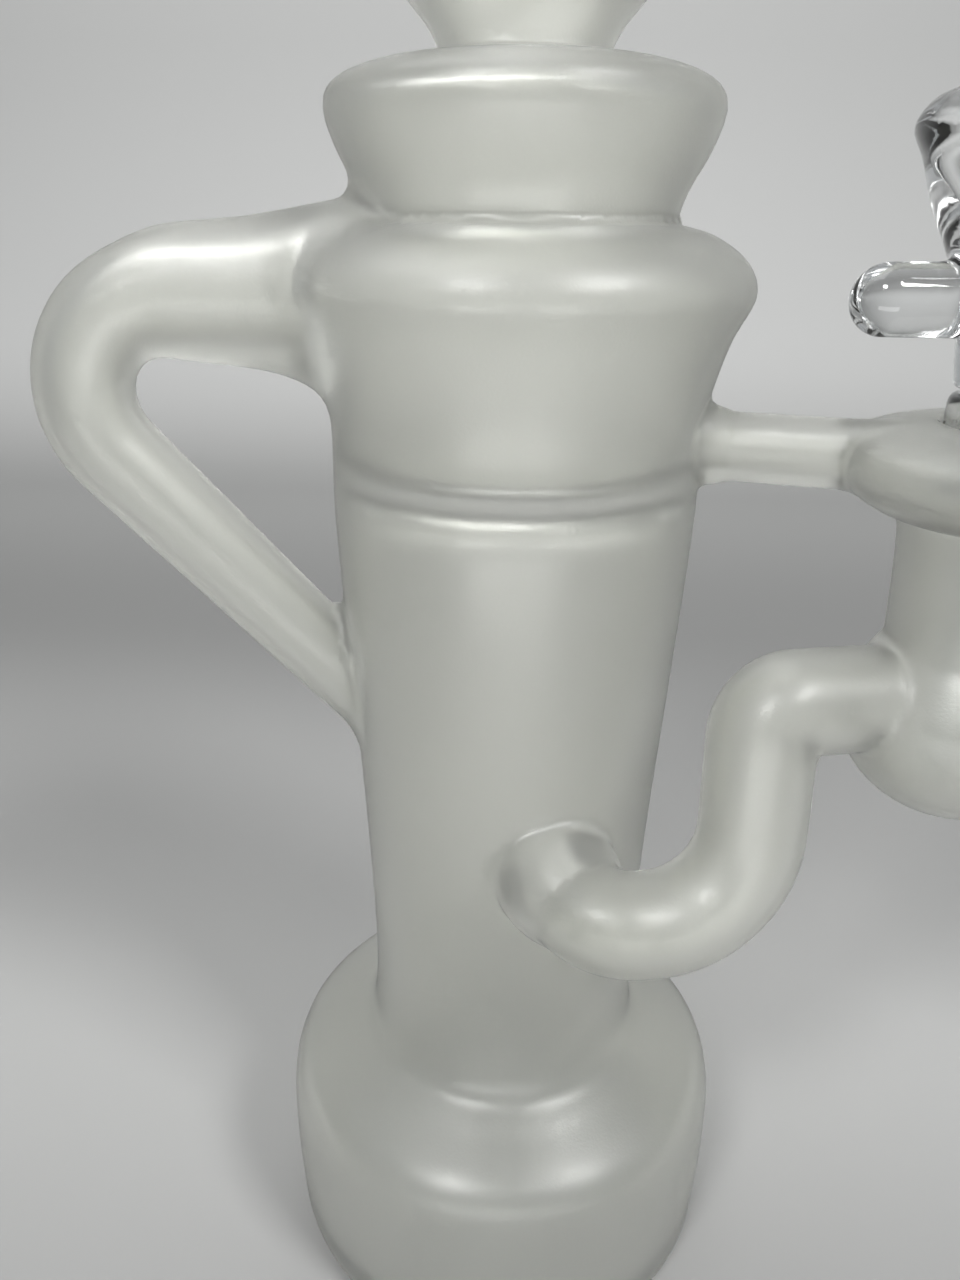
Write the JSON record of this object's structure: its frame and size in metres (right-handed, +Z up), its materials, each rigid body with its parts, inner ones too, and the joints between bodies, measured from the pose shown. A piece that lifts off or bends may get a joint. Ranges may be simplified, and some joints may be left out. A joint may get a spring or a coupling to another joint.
{
  "type": "glass recycler water pipe",
  "caption": "Frosted glass recycler water pipe: a column with a return arm, a side chamber on an S-bend tube, and a clear lift-out bowl.",
  "frame": {"origin": "centre of the foot's underside, on the axis of the column", "axes": "+Z up the column to the mouthpiece; +X towards the side chamber and bowl; -Y is the front, where the S-bend meets the column"},
  "size_m": [0.159, 0.0842, 0.2255],
  "materials": {
    "frosted_glass": "sandblasted outside, smooth inside",
    "clear_glass": "clear, fire-polished"
  },
  "bodies": {
    "vessel": {"foot_disc": "frosted_glass", "base_wall": "frosted_glass", "base_dome": "frosted_glass", "column_neck": "frosted_glass", "lower_column": "frosted_glass", "divider_plate": "frosted_glass", "upper_column": "frosted_glass", "shoulder_ring": "frosted_glass", "crown_ring": "frosted_glass", "mouthpiece": "frosted_glass", "arm_top_run": "frosted_glass", "arm_bend": "frosted_glass", "arm_lower_run": "frosted_glass", "arm_lower_seal": "frosted_glass", "bridge_tube": "frosted_glass", "bridge_seal": "frosted_glass", "s_bend_foot": "frosted_glass", "s_bend_low_turn": "frosted_glass", "s_bend_high_turn": "frosted_glass", "s_bend_seal": "frosted_glass", "side_bulb": "frosted_glass", "side_neck": "frosted_glass", "side_ring": "frosted_glass", "joint_socket": "frosted_glass", "downstem": "frosted_glass"},
    "bowl_joint": {"bowl_stem": "clear_glass"},
    "bowl": {"bowl_head": "clear_glass", "bowl_handle": "clear_glass"}
  },
  "joints": [
    {"name": "bowl_lift", "type": "slide", "parent": "vessel", "child": "bowl_joint", "axis": [0, 0, 1], "range_m": [0, 0.04]},
    {"name": "bowl_turn", "type": "hinge", "parent": "bowl_joint", "child": "bowl", "pos_m": [0.06761, -0.01812, 0.17], "axis": [0, 0, 1], "continuous": true}
  ]
}
